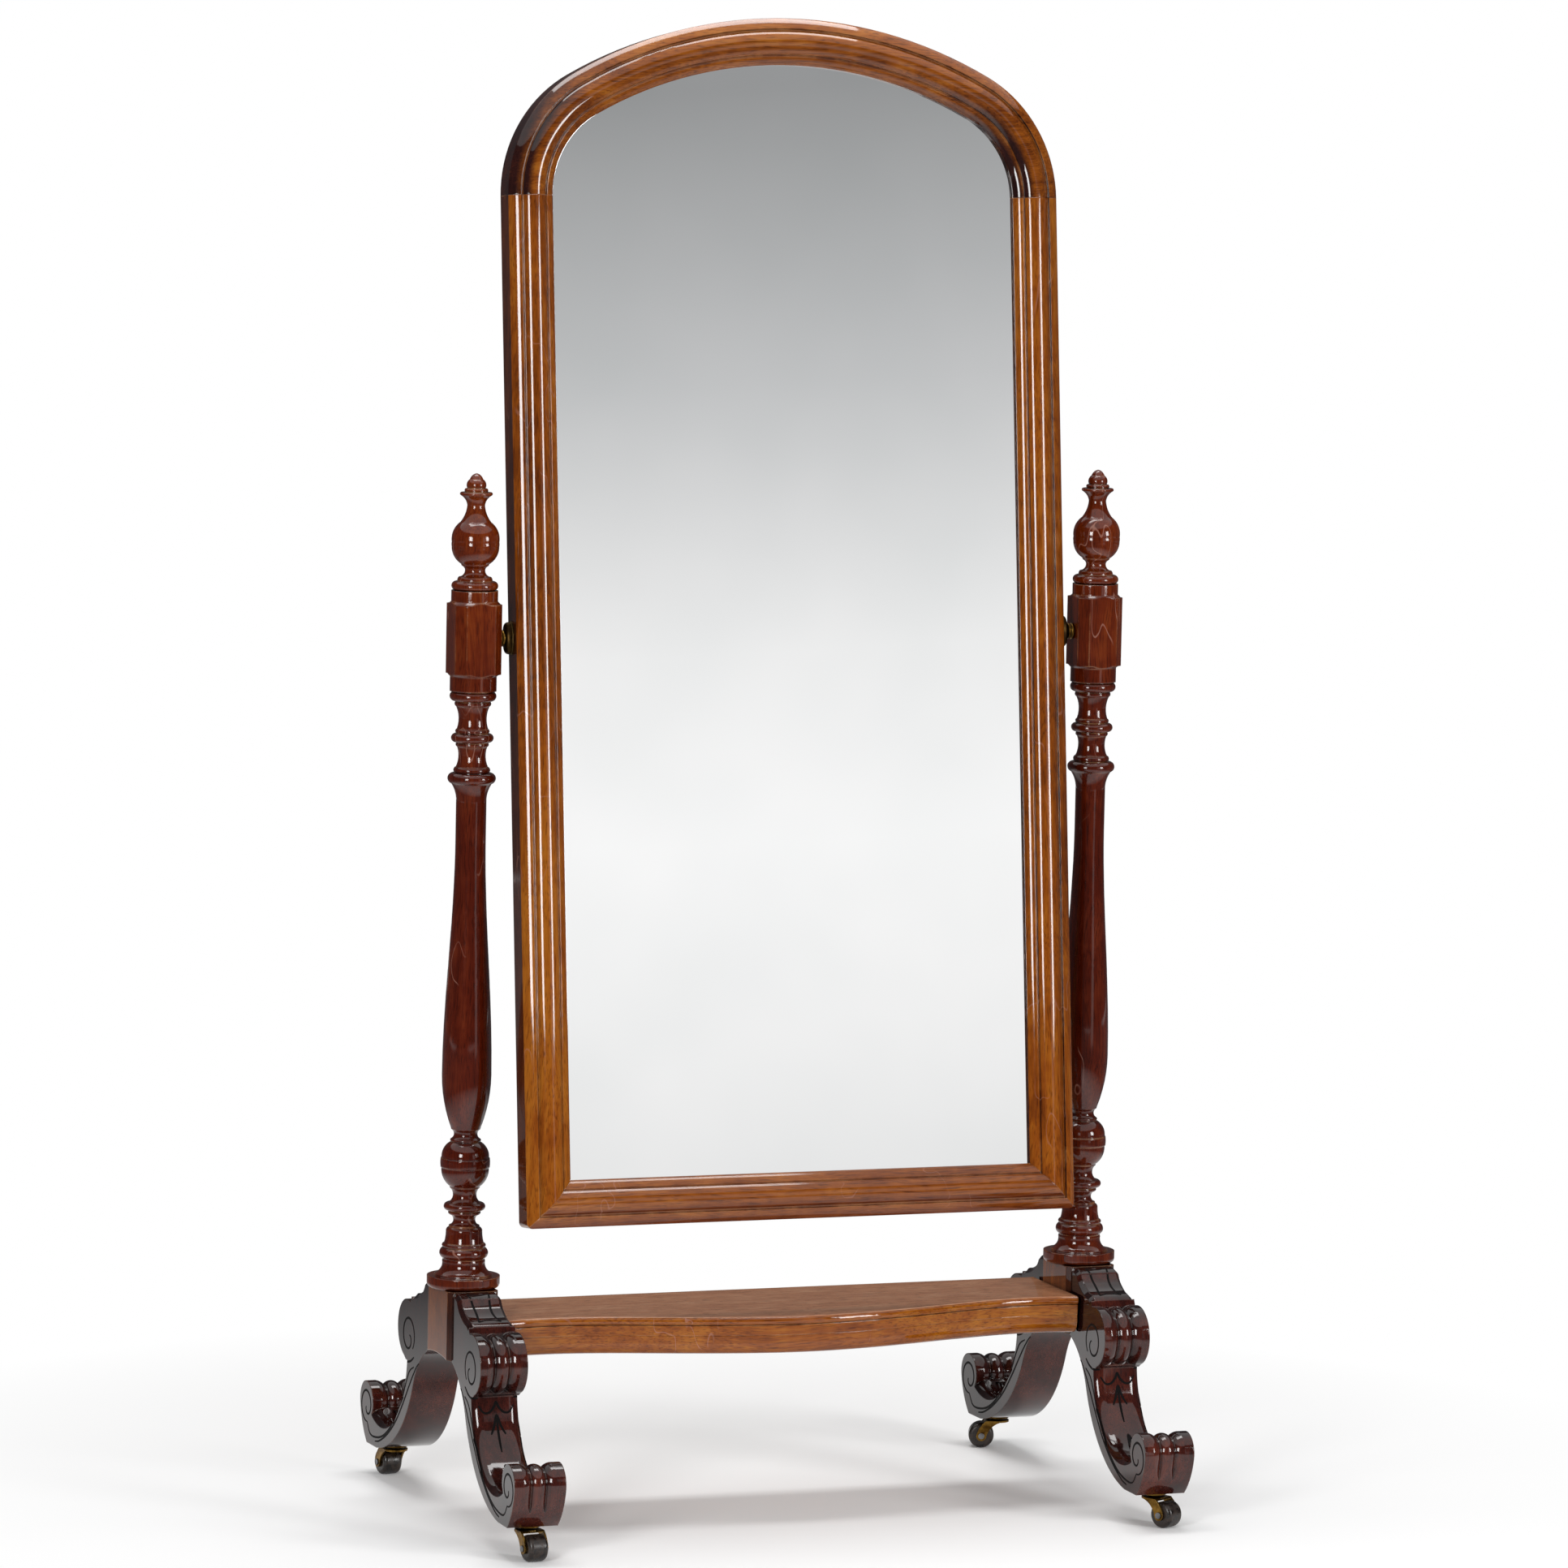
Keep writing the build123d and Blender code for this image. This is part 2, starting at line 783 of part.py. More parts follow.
def frame_outline(inset, corner=0):
    """Face inside the frame's outline, moved in by inset, its lower corners rounded."""
    half = frame_half_width - inset
    low = inset - frame_below_pivot
    spring = frame_spring_height
    with BuildSketch() as outline:
        with BuildLine():
            Polyline((-half, spring), (-half, low), (half, low), (half, spring))
            CenterArc((side_centre, spring), arch_side_radius - inset, 0, side_arc_angle)
            CenterArc((0, crown_centre), crown_arc_radius - inset, side_arc_angle, 180 - 2 * side_arc_angle)
            CenterArc((-side_centre, spring), arch_side_radius - inset, 180 - side_arc_angle, side_arc_angle)
        make_face()
        if corner:
            fillet(outline.vertices().group_by(Axis.Y)[0], corner)
    return outline.sketch


def moulding_section():
    """Section of the frame: x in from the outer edge, y forward of it, with both rebates."""
    torus_start = outer_member_width + quirk_width
    glass_edge = moulding_width - glass_rebate_width
    board_edge = moulding_width - board_rebate_width
    inner_edge = (moulding_width, -inner_edge_drop)
    with BuildSketch() as section:
        with BuildLine():
            outer_member_end = (outer_member_width, outer_member_height)
            torus_foot = (torus_start, outer_member_height - quirk_rise)
            torus_back = (torus_end, torus_foot_height)
            inner_member_foot = (inner_member_start, torus_foot_height - inner_quirk_depth / 2)
            SagittaArc((0, 0), outer_member_end, outer_member_round)
            Polyline(outer_member_end, (outer_member_width + 0.7, outer_member_height - quirk_depth), torus_foot)
            SagittaArc(torus_foot, torus_back, torus_round)
            Polyline(torus_back, (torus_end + 0.6, torus_foot_height - inner_quirk_depth), inner_member_foot)
            SagittaArc(inner_member_foot, inner_edge, inner_member_round)
            Polyline(
                inner_edge,
                (moulding_width, -glass_setback),
                (glass_edge, -glass_setback),
                (glass_edge, board_rebate_depth - frame_depth),
                (board_edge, board_rebate_depth - frame_depth),
                (board_edge, -frame_depth),
                (0, -frame_depth),
                (0, 0),
            )
        make_face()
    return section.sketch


glass_edge_reach = frame_half_width - moulding_width
glass_edge_crown = crown_arc_radius - moulding_width
glass_block_centres = [
    (side * glass_edge_reach, step * glass_block_step - glass_block_lowest) for side in (-1, 1) for step in (0, 1, 2)
]
glass_block_centres += [(side * glass_block_reach, moulding_width - frame_below_pivot) for side in (-1, 1)]
glass_block_centres += [
    (glass_edge_crown * sin(radians(turn)), crown_centre + glass_edge_crown * cos(radians(turn)))
    for turn in (-15, 0, 15)
]


def on_frame(x, y, forward=0):
    """Point over the frame's outline plane."""
    return face_plane.from_local_coords((x, y, forward))


def lower_mitre(side):
    """Plane of the mitre at a lower corner, facing the stile."""
    corner = on_frame(side * frame_half_width, -frame_below_pivot)
    return Plane(origin=corner, z_dir=frame_up + frame_right * side)


frame_height = frame_below_pivot + frame_spring_height
with BuildPart() as frame_envelope:
    with BuildSketch(back_plane):
        add(frame_outline(0, frame_corner_radius))
    extrude(amount=2 * frame_depth)

# Arched head: the moulding swept round three arcs
with BuildPart() as arched_head:
    with BuildLine(face_plane) as arch:
        CenterArc((side_centre, frame_spring_height), arch_side_radius, 0, side_arc_angle)
        CenterArc((0, crown_centre), crown_arc_radius, side_arc_angle, 180 - 2 * side_arc_angle)
        CenterArc((-side_centre, frame_spring_height), arch_side_radius, 180 - side_arc_angle, side_arc_angle)
    with BuildSketch(Plane(origin=on_frame(frame_half_width, frame_spring_height), x_dir=-frame_right, z_dir=frame_up)):
        add(moulding_section())
    sweep(path=arch.wire())
    with Locations(*board_fixing_places()):
        add(board_screw, mode=Mode.SUBTRACT)
finish(arched_head.part, "arched_head")

# Stiles, mitred at the foot and holed for the pivot pins
for name, side in sides:
    with BuildPart() as stile:
        start = on_frame(side * frame_half_width, frame_spring_height if side < 0 else -frame_below_pivot)
        with BuildSketch(Plane(origin=start, x_dir=-side * frame_right, z_dir=side * frame_up)):
            add(moulding_section())
        extrude(amount=frame_height)
        split(bisect_by=lower_mitre(side), keep=Keep.TOP)
        add(frame_envelope.part, mode=Mode.INTERSECT)
        with Locations(Location((side * frame_half_width, 0, pivot_height), (0, -side * 90, 0))):
            Cylinder(
                pin_radius,
                pin_in_stile,
                align=(Align.CENTER, Align.CENTER, Align.MIN),
                mode=Mode.SUBTRACT,
            )
        with Locations(*board_fixing_places()):
            add(board_screw, mode=Mode.SUBTRACT)
    finish(stile.part, name + "_stile")

# Bottom rail between the two mitres
with BuildPart() as bottom_rail:
    with BuildSketch(Plane(origin=on_frame(-frame_half_width, -frame_below_pivot), x_dir=frame_up, z_dir=frame_right)):
        add(moulding_section())
    extrude(amount=2 * frame_half_width)
    split(bisect_by=lower_mitre(-1), keep=Keep.BOTTOM)
    split(bisect_by=lower_mitre(1), keep=Keep.BOTTOM)
    add(frame_envelope.part, mode=Mode.INTERSECT)
    with Locations(*board_fixing_places()):
        add(board_screw, mode=Mode.SUBTRACT)
finish(bottom_rail.part, "bottom_rail")

# Glass, its edge hidden in the rebate
with BuildPart() as mirror_glass:
    with BuildSketch(face_plane.offset(glass_face)):
        add(frame_outline(glass_inset))
    extrude(amount=-glass_thickness)
finish(mirror_glass.part, "mirror_glass")

# Backboard in the rebate behind the glass, screwed to the shoulder of the frame
with BuildPart() as backboard:
    with BuildSketch(back_plane):
        add(frame_outline(board_inset))
    extrude(amount=board_rebate_depth)
    with Locations(*board_fixing_places()):
        add(board_screw, mode=Mode.SUBTRACT)
finish(backboard.part, "backboard")

with BuildPart() as backboard_screws:
    with Locations(*board_fixing_places()):
        add(board_screw)
finish(backboard_screws.part, "backboard_screws")

# Wooden blocks that hold the glass to the front of its rebate, under the backboard
with BuildPart() as glass_blocks:
    with BuildSketch(face_plane.offset(glass_back)):
        with Locations(*glass_block_centres):
            Rectangle(glass_block_length, glass_block_length)
        add(frame_outline(moulding_width - glass_rebate_width), mode=Mode.INTERSECT)
        add(frame_outline(moulding_width - glass_rebate_width + glass_block_width), mode=Mode.SUBTRACT)
    extrude(amount=board_front - glass_back)
finish(glass_blocks.part, "glass_blocks")

# Two rounded rings that make the collar of a pivot bush, seated at the origin
with BuildPart() as collar_rings:
    with BuildSketch(Plane.XZ):
        with BuildLine():
            ring = collar_length / 2
            groove = collar_radius - ring_round
            Polyline((groove, 0), (0, 0), (0, collar_length), (groove, collar_length))
            for step in (0, ring):
                SagittaArc((groove, step), (groove, step + ring), -ring_round)
        make_face()
    revolve(axis=Axis.Z)

# Pivots: an oval domed boss and a pin on each stile, a ringed bush in each standard
for name, side in sides:
    stile_face = side * frame_half_width
    boss_face = side * (frame_half_width + boss_thickness)
    block_face = side * (standard_x - pivot_block_width / 2)
    stile_side = Plane(origin=(stile_face, 0, pivot_height), x_dir=frame_up, z_dir=side * frame_right)
    with BuildPart() as boss:
        with BuildSketch(stile_side):
            Ellipse(boss_height / 2, boss_width / 2)
        extrude(amount=boss_plinth)
        with BuildSketch(stile_side.offset(boss_plinth)):
            Ellipse(boss_height / 2 - boss_rim, boss_width / 2 - boss_rim)
        extrude(amount=boss_thickness - boss_plinth)
        fillet(boss.edges().group_by(Axis.X)[-1 if side > 0 else 0], boss_round)
        with Locations(stile_side):
            Cylinder(pin_radius, 4 * boss_thickness, mode=Mode.SUBTRACT)
    finish(boss.part, name + "_pivot_boss")

    with BuildPart() as pin:
        with Locations(Location((stile_face - side * pin_in_stile, 0, pivot_height), (0, side * 90, 0))):
            Cylinder(
                pin_radius,
                pin_in_stile + abs(block_face - stile_face) + pin_reach,
                align=(Align.CENTER, Align.CENTER, Align.MIN),
            )
    finish(pin.part, name + "_pivot_pin")

    with BuildPart() as bush:
        with BuildSketch(Plane(origin=(block_face, 0, pivot_height), x_dir=(0, 1, 0), z_dir=(side, 0, 0))):
            Circle(bush_radius)
        extrude(amount=bush_length)
        with Locations(Location((block_face, 0, pivot_height), (0, -side * 90, 0))):
            add(collar_rings.part)
        with Locations(Location((block_face, 0, pivot_height), (0, 90, 0))):
            Cylinder(pin_radius + running_fit, 4 * bush_length, mode=Mode.SUBTRACT)
    finish(bush.part, name + "_pivot_bush")

# Castor parts on the swivel axis, the floor at zero, the wheel trailing to the front
wheel_centre = (0, -castor_trail, wheel_radius)
plate_bottom = leg_foot_height - plate_thickness
crown_top = plate_bottom - neck_height
crown_bottom = crown_top - crown_thickness
cheek_inside = wheel_width / 2 + wheel_side_gap
fork_half_width = cheek_inside + cheek_thickness

with BuildPart() as plate_pattern:
    with Locations((0, 0, plate_bottom)):
        Cylinder(plate_radius, plate_thickness, align=(Align.CENTER, Align.CENTER, Align.MIN))
    with Locations((0, 0, leg_foot_height)):
        Hole(swivel_pin_radius + running_fit)
        with Locations(*plate_screw_places()):
            add(plate_screw, mode=Mode.SUBTRACT)

with BuildPart() as plate_screws_pattern:
    with Locations((0, 0, leg_foot_height)):
        with Locations(*plate_screw_places()):
            add(plate_screw)

with BuildPart() as wheel_pattern:
    with Locations(Location(wheel_centre, (0, 90, 0))):
        Cylinder(wheel_radius, wheel_width)
        fillet(wheel_pattern.edges(), wheel_round)
        Cylinder(axle_radius + running_fit, 2 * wheel_width, mode=Mode.SUBTRACT)

with BuildPart() as axle_pattern:
    with Locations(Location(wheel_centre, (0, 90, 0))):
        Cylinder(axle_radius, 2 * fork_half_width)
    for side in (-1, 1):
        with Locations(Location((side * fork_half_width, -castor_trail, wheel_radius), (0, side * 90, 0))):
            Cylinder(axle_head_radius, axle_head, align=(Align.CENTER, Align.CENTER, Align.MIN))

# Fork: riveted swivel pin, neck, crown with a sloped top and two cheeks swept back to the axle
with BuildPart() as fork_pattern:
    with BuildSketch(Plane.XZ):
        with BuildLine():
            rivet_top = leg_foot_height + rivet_height
            Polyline(
                (0, crown_bottom),
                (0, rivet_top),
                (rivet_radius, rivet_top),
                (rivet_radius, leg_foot_height + swivel_gap),
                (swivel_pin_radius, leg_foot_height + swivel_gap),
                (swivel_pin_radius, plate_bottom - swivel_gap),
                (neck_radius, plate_bottom - swivel_gap),
                (neck_radius, crown_top),
                (crown_radius - crown_slope, crown_top),
                (crown_radius, crown_top - crown_slope / 2),
                (crown_radius, crown_bottom),
                close=True,
            )
        make_face()
    revolve(axis=Axis.Z)
    with BuildSketch(leg_side):
        with BuildLine():
            eye = (castor_trail, wheel_radius)
            cheek_top = crown_top - crown_slope / 2
            Polyline((-cheek_back, crown_bottom), (-cheek_back, cheek_top), (cheek_front, cheek_top))
            SagittaArc((cheek_front, cheek_top), (castor_trail + cheek_eye_radius, wheel_radius), 2.0)
            CenterArc(eye, cheek_eye_radius, 0, -180)
            SagittaArc((castor_trail - cheek_eye_radius, wheel_radius), (-cheek_back, crown_bottom), -cheek_swell)
        make_face()
    extrude(amount=fork_half_width, both=True)
    with Locations(Location(wheel_centre, (0, 90, 0))):
        Cylinder(wheel_radius + wheel_gap, 2 * cheek_inside, mode=Mode.SUBTRACT)
        Cylinder(axle_radius, 4 * fork_half_width, mode=Mode.SUBTRACT)
    with Locations((0, 0, crown_bottom)):
        Box(
            2 * cheek_inside,
            4 * castor_trail,
            2 * wheel_radius,
            align=(Align.CENTER, Align.CENTER, Align.MAX),
            mode=Mode.SUBTRACT,
        )

castor_patterns = {
    "castor_plate": plate_pattern.part,
    "castor_fork": fork_pattern.part,
    "castor_wheel": wheel_pattern.part,
    "castor_axle": axle_pattern.part,
    "castor_screws": plate_screws_pattern.part,
}
for side_name, side in sides:
    for end_name, end in (("front", -1), ("back", 1)):
        corner = side_name + "_" + end_name
        for piece_name, piece in castor_patterns.items():
            fixed = piece_name in ("castor_plate", "castor_screws")
            heading = (0 if end < 0 else 180) if fixed else castor_headings[corner]
            with BuildPart() as castor_piece:
                with Locations(Location((side * standard_x, end * castor_reach, 0), (0, 0, heading))):
                    add(piece)
            finish(castor_piece.part, corner + "_" + piece_name)
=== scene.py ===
"""Looks of the cheval mirror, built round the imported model. Lengths are in metres, angles in degrees."""
import math

import bpy
import numpy as np
from mathutils import Matrix, Vector
from mathutils.bvhtree import BVHTree


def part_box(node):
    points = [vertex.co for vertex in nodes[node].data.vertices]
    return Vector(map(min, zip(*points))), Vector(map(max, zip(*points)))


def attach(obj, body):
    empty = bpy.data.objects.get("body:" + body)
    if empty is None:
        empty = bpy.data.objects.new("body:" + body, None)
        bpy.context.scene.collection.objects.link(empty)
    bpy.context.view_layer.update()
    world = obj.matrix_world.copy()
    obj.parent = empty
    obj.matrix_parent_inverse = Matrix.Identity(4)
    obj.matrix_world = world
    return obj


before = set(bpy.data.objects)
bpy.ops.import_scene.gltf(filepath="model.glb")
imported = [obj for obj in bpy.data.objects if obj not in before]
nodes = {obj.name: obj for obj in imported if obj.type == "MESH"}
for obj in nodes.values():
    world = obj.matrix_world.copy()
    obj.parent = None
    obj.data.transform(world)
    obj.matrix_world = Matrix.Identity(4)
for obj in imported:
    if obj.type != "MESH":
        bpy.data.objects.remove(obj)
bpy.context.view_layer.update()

MM = 0.001
METRE_IN_MM = 1000.0
UP, DOWN, ACROSS, LEFTWARD, DEEP = (0, 0, 1), (0, 0, -1), (1, 0, 0), (-1, 0, 0), (0, 1, 0)
BLEND = {"data_type": "RGBA"}
DARKEN = {"data_type": "RGBA", "blend_type": "MULTIPLY"}


# Colours and nodes
def linear(code):
    """sRGB hex code as a linear colour with alpha."""
    parts = [int(code[i:i + 2], 16) / 255 for i in (1, 3, 5)]
    return [c / 12.92 if c <= 0.04045 else ((c + 0.055) / 1.055) ** 2.4 for c in parts] + [1.0]


def node(owner, kind, settings=None, **inputs):
    """Add a node. Settings are its own properties, with a ramp's (place, hex code) stops under
    "stops". Inputs are values, or sockets to link from, named as on the node or i and a number."""
    tree = owner.node_tree
    made = tree.nodes.new(kind)
    for key, value in (settings or {}).items():
        if key == "stops":
            elements = made.color_ramp.elements
            while len(elements) < len(value):
                elements.new(0.5)
            for element, (place, code) in zip(elements, value):
                element.position = place
                element.color = linear(code)
        else:
            setattr(made, key, value)
    for key, value in inputs.items():
        socket = made.inputs[int(key[1:])] if key[1:].isdigit() else made.inputs[key.replace("_", " ")]
        if isinstance(value, bpy.types.NodeSocket):
            tree.links.new(value, socket)
        else:
            socket.default_value = value
    return made


def new_material(name):
    """Material with an empty node tree."""
    material = bpy.data.materials.new(name)
    material.use_nodes = True
    material.node_tree.nodes.clear()
    return material


# Wood
TONE_PLACES = (0.38, 0.5, 0.62)
WAVE, FIGURE, STREAK, FIBRE, CLOUD, PORE = (METRE_IN_MM / size for size in (160.0, 70.0, 9.0, 2.4, 35.0, 1.2))
SCRATCH_BEND, SCRATCH_PATCH, FILM_RIPPLE = (METRE_IN_MM / size for size in (30.0, 90.0, 15.0))
GRAIN_STRETCH = 0.05
SCRATCH_COLOUR = "#A87868"


def polished_mahogany(name, tones, along, painted_light_by_facing=None, by_height=None, scratches=0.0, coat=1.0,
                      roughness=0.4, worn="#B07A50", soft=1.4):
    """French-polished mahogany. The eye sees red-brown wood with short dark pores and fine streaks
    along the grain, soft bands of figure, hollows darkened by painted shade and old polish, paler worn
    arrises, and sharp reflections in a thin shellac film.

    tones are hex codes from dark to light. along is the grain direction. facing is (axis, both
    ways, from, to, tones): where the surface turns towards the axis, the tones go over to its own,
    as painted light and shade on the faces turned that way. by_height is a list of (height, hex
    code) that the colour is multiplied by. worn is the colour of the bared arrises, and soft is how
    far wear and polish round them, in millimetres. Bands of figure are 70 mm wide, streaks 9 mm and
    fibres 2.4 mm. Pores are 0.3 mm wide and drawn 1.2 mm wide, so that they show, and scratches are
    drawn wide as well."""
    material = new_material(name)
    place = node(material, "ShaderNodeTexCoord").outputs["Object"]
    normal = node(material, "ShaderNodeNewGeometry").outputs["Normal"]

    # The grain wanders by up to 20 mm and is drawn out twentyfold along the wood.
    wave = node(material, "ShaderNodeTexNoise", Vector=place, Scale=WAVE, Detail=1.0).outputs["Color"]
    wander = (0.02, 0.02, 0.02)
    bent = node(
        material, "ShaderNodeVectorMath", {"operation": "MULTIPLY_ADD"}, i0=wave, i1=wander, i2=place,
    ).outputs[0]
    stretch = [GRAIN_STRETCH if part else 1.0 for part in along]
    grain = node(material, "ShaderNodeMapping", Vector=bent, Scale=stretch).outputs[0]
    bands, streaks, fibres, clouds = (
        node(
            material, "ShaderNodeTexNoise", Vector=vector, Scale=scale, Detail=detail, Roughness=fall,
        ).outputs["Fac"]
        for vector, scale, detail, fall in (
            (grain, FIGURE, 2.0, 0.5), (grain, STREAK, 3.0, 0.6),
            (grain, FIBRE, 2.0, 0.6), (place, CLOUD, 3.0, 0.6),
        )
    )
    tone = bands
    for share, layer in ((0.4, streaks), (0.25, clouds), (0.18, fibres)):
        tone = node(material, "ShaderNodeMix", i0=share, i2=tone, i3=layer).outputs[0]
    colour = node(
        material, "ShaderNodeValToRGB", {"stops": list(zip(TONE_PLACES, tones))}, Fac=tone,
    ).outputs[0]

    # Faces turned towards the axis take other tones: painted light and shade.
    if painted_light_by_facing:
        axis, both_ways, low, high, other = painted_light_by_facing
        turn = node(
            material, "ShaderNodeVectorMath", {"operation": "DOT_PRODUCT"}, i0=normal, i1=axis,
        ).outputs["Value"]
        if both_ways:
            turn = node(material, "ShaderNodeMath", {"operation": "ABSOLUTE"}, i0=turn).outputs[0]
        amount = node(
            material, "ShaderNodeMapRange", {"interpolation_type": "SMOOTHSTEP"},
            Value=turn, From_Min=low, From_Max=high,
        ).outputs[0]
        under = node(
            material, "ShaderNodeValToRGB", {"stops": list(zip(TONE_PLACES, other))}, Fac=tone,
        ).outputs[0]
        colour = node(material, "ShaderNodeMix", BLEND, i0=amount, i6=colour, i7=under).outputs[2]

    if by_height:
        low, high = by_height[0][0], by_height[-1][0]
        stops = [((z - low) / (high - low), code) for z, code in by_height]
        # The colour is multiplied by a tint that changes with height.
        height = node(material, "ShaderNodeSeparateXYZ", Vector=place).outputs["Z"]
        level = node(material, "ShaderNodeMapRange", Value=height, From_Min=low, From_Max=high).outputs[0]
        height_tint = node(material, "ShaderNodeValToRGB", {"stops": stops}, Fac=level).outputs[0]
        colour = node(material, "ShaderNodeMix", DARKEN, i0=1.0, i6=colour, i7=height_tint).outputs[2]

    pores = node(material, "ShaderNodeTexNoise", Vector=grain, Scale=PORE, Detail=1.0).outputs["Fac"]
    open_pores = node(
        material, "ShaderNodeMapRange", Value=pores, From_Min=0.34, From_Max=0.44, To_Min=0.55,
    ).outputs[0]
    colour = node(material, "ShaderNodeMix", DARKEN, i0=0.8, i6=colour, i7=open_pores).outputs[2]

    # Hollows up to 8 mm deep and the gaps between parts are darkened: painted shade, with old polish and wax
    # gathered there.
    hollow = node(material, "ShaderNodeAmbientOcclusion", {"samples": 5}, Distance=8 * MM).outputs["AO"]
    hollow_darkening = node(
        material, "ShaderNodeMapRange", Value=hollow, From_Min=0.25, From_Max=0.85, To_Min=0.22,
    ).outputs[0]
    colour = node(material, "ShaderNodeMix", DARKEN, i0=1.0, i6=colour, i7=hollow_darkening).outputs[2]

    # Arrises are rubbed through, more in some places than in others.
    softened = node(material, "ShaderNodeBevel", {"samples": 6}, Radius=soft * MM).outputs[0]
    flatness = node(
        material, "ShaderNodeVectorMath", {"operation": "DOT_PRODUCT"}, i0=softened, i1=normal,
    ).outputs["Value"]
    rubbed = node(material, "ShaderNodeMapRange", Value=flatness, From_Min=0.985, From_Max=0.93).outputs[0]
    patchy = node(
        material, "ShaderNodeMapRange", Value=clouds, From_Min=0.42, From_Max=0.62, To_Max=0.6,
    ).outputs[0]
    wear = node(material, "ShaderNodeMath", {"operation": "MULTIPLY"}, i0=rubbed, i1=patchy).outputs[0]
    colour = node(material, "ShaderNodeMix", BLEND, i0=wear, i6=colour, i7=linear(worn)).outputs[2]

    # Scratches are the thin lines where a slow noise crosses its middle, kept to some patches.
    if scratches:
        tangle = node(
            material, "ShaderNodeMapping", Vector=place, Scale=(1.0, 1.0, 0.3), Rotation=(0.4, 0.5, 0.0),
        ).outputs[0]
        field = node(
            material, "ShaderNodeTexNoise", Vector=tangle, Scale=SCRATCH_BEND, Detail=1.0,
        ).outputs["Fac"]
        offset = node(material, "ShaderNodeMath", {"operation": "SUBTRACT"}, i0=field, i1=0.5).outputs[0]
        apart = node(material, "ShaderNodeMath", {"operation": "ABSOLUTE"}, i0=offset).outputs[0]
        line = node(
            material, "ShaderNodeMapRange", Value=apart, From_Min=0.002, From_Max=0.008, To_Min=1.0, To_Max=0.0,
        ).outputs[0]
        patch = node(
            material, "ShaderNodeTexNoise", Vector=place, Scale=SCRATCH_PATCH, Detail=1.0,
        ).outputs["Fac"]
        some = node(
            material, "ShaderNodeMapRange", Value=patch, From_Min=0.56, From_Max=0.62, To_Max=scratches,
        ).outputs[0]
        marked = node(material, "ShaderNodeMath", {"operation": "MULTIPLY"}, i0=line, i1=some).outputs[0]
        colour = node(
            material, "ShaderNodeMix", BLEND, i0=marked, i6=colour, i7=linear(SCRATCH_COLOUR),
        ).outputs[2]

    # Pores are drawn about 0.01 mm deep under the film, which is wavy by under 0.01 mm over 15 mm.
    bump = node(
        material, "ShaderNodeBump", Strength=0.15, Distance=0.15 * MM, Height=open_pores, Normal=softened,
    ).outputs[0]
    ripple = node(material, "ShaderNodeTexNoise", Vector=place, Scale=FILM_RIPPLE, Detail=1.0).outputs["Fac"]
    film = node(
        material, "ShaderNodeBump", Strength=0.2, Distance=0.05 * MM, Height=ripple, Normal=softened,
    ).outputs[0]
    shader = node(
        material, "ShaderNodeBsdfPrincipled", Base_Color=colour, Roughness=roughness, IOR=1.5,
        Specular_IOR_Level=0.0, Coat_Weight=coat, Coat_Roughness=0.05, Coat_IOR=1.52,
        Normal=bump, Coat_Normal=film,
    )
    node(material, "ShaderNodeOutputMaterial", Surface=shader.outputs[0])
    return material


# Orange-brown above, deep red down the shafts and dark red-brown at their feet.
turned = polished_mahogany(
    "french_polished_turned_mahogany", ["#481402", "#602006", "#7C3610"], UP, scratches=0.5, soft=2.6,
    by_height=[
        (0.27, "#FFFFFF"), (0.31, "#D4C4FF"), (0.60, "#D0C0FF"), (0.78, "#C9B8FF"),
        (1.00, "#DCD0FF"), (1.10, "#FFFFFF"), (1.5, "#FFFFFF"),
    ],
)
# Sides that face across painted golden, dark red on the corners: painted light and shade.
block_wood = polished_mahogany(
    "french_polished_block_mahogany", ["#2A120A", "#38180C", "#4A2010"], UP,
    painted_light_by_facing=(ACROSS, True, 0.90, 0.98, ["#4A1E06", "#62300A", "#7E4210"]),
)
# Almost black at the sides, dark red on the fronts and backs: painted shade and light by the way a face turns.
carved = polished_mahogany(
    "french_polished_carved_mahogany", ["#120706", "#200D0B", "#321410"], UP, worn="#6A4434", soft=2.0,
    painted_light_by_facing=(DEEP, True, 0.35, 0.9, ["#220B08", "#3C1610", "#562418"]),
)
# Golden brown, with the sides that face across painted darker: painted shade.
stile_wood = polished_mahogany(
    "golden_polished_mahogany_upright", ["#5C2805", "#84420B", "#9E5C18"], UP, scratches=0.3,
    painted_light_by_facing=(ACROSS, True, 0.80, 0.97, ["#30120A", "#451D0C", "#5A2A10"]),
)
# Golden brown, painted darker and redder on faces turned down: painted shade.
rail_wood = polished_mahogany(
    "golden_polished_mahogany_level", ["#5C2806", "#82430E", "#9A5A1A"], ACROSS, scratches=0.3,
    painted_light_by_facing=(DOWN, False, 0.2, 0.8, ["#4A1A0C", "#662E16", "#7A3E20"]),
)
# Golden brown, painted dark on faces turned to the left, as where the arch turns down to the left: painted
# shade.
head_wood = polished_mahogany(
    "golden_polished_mahogany_arched", ["#582606", "#86460E", "#A46420"], ACROSS, soft=2.0,
    painted_light_by_facing=(LEFTWARD, False, 0.1, 0.6, ["#1C0908", "#2C110E", "#421C10"]),
)
# Amber edge and a dulled, pinkish-brown top, painted paler too: partly its own worn top, partly painted light
# from above.
shelf_wood = polished_mahogany(
    "worn_polished_mahogany_shelf", ["#5E2805", "#88460C", "#A66418"], ACROSS, scratches=0.5, worn="#C89468",
    painted_light_by_facing=(UP, False, 0.75, 0.97, ["#A87050", "#BE8460", "#CE9A76"]),
)
# Sawn deal, unseen from the front, has no film on it and takes a plain soft light.
plain_wood = polished_mahogany(
    "bare_deal_boards", ["#6E5238", "#8A6A48", "#A08058"], UP, coat=0.0, roughness=0.75, worn="#B89A70",
)

# Metal
TARNISH, PIT = METRE_IN_MM / 12.0, METRE_IN_MM / 1.5


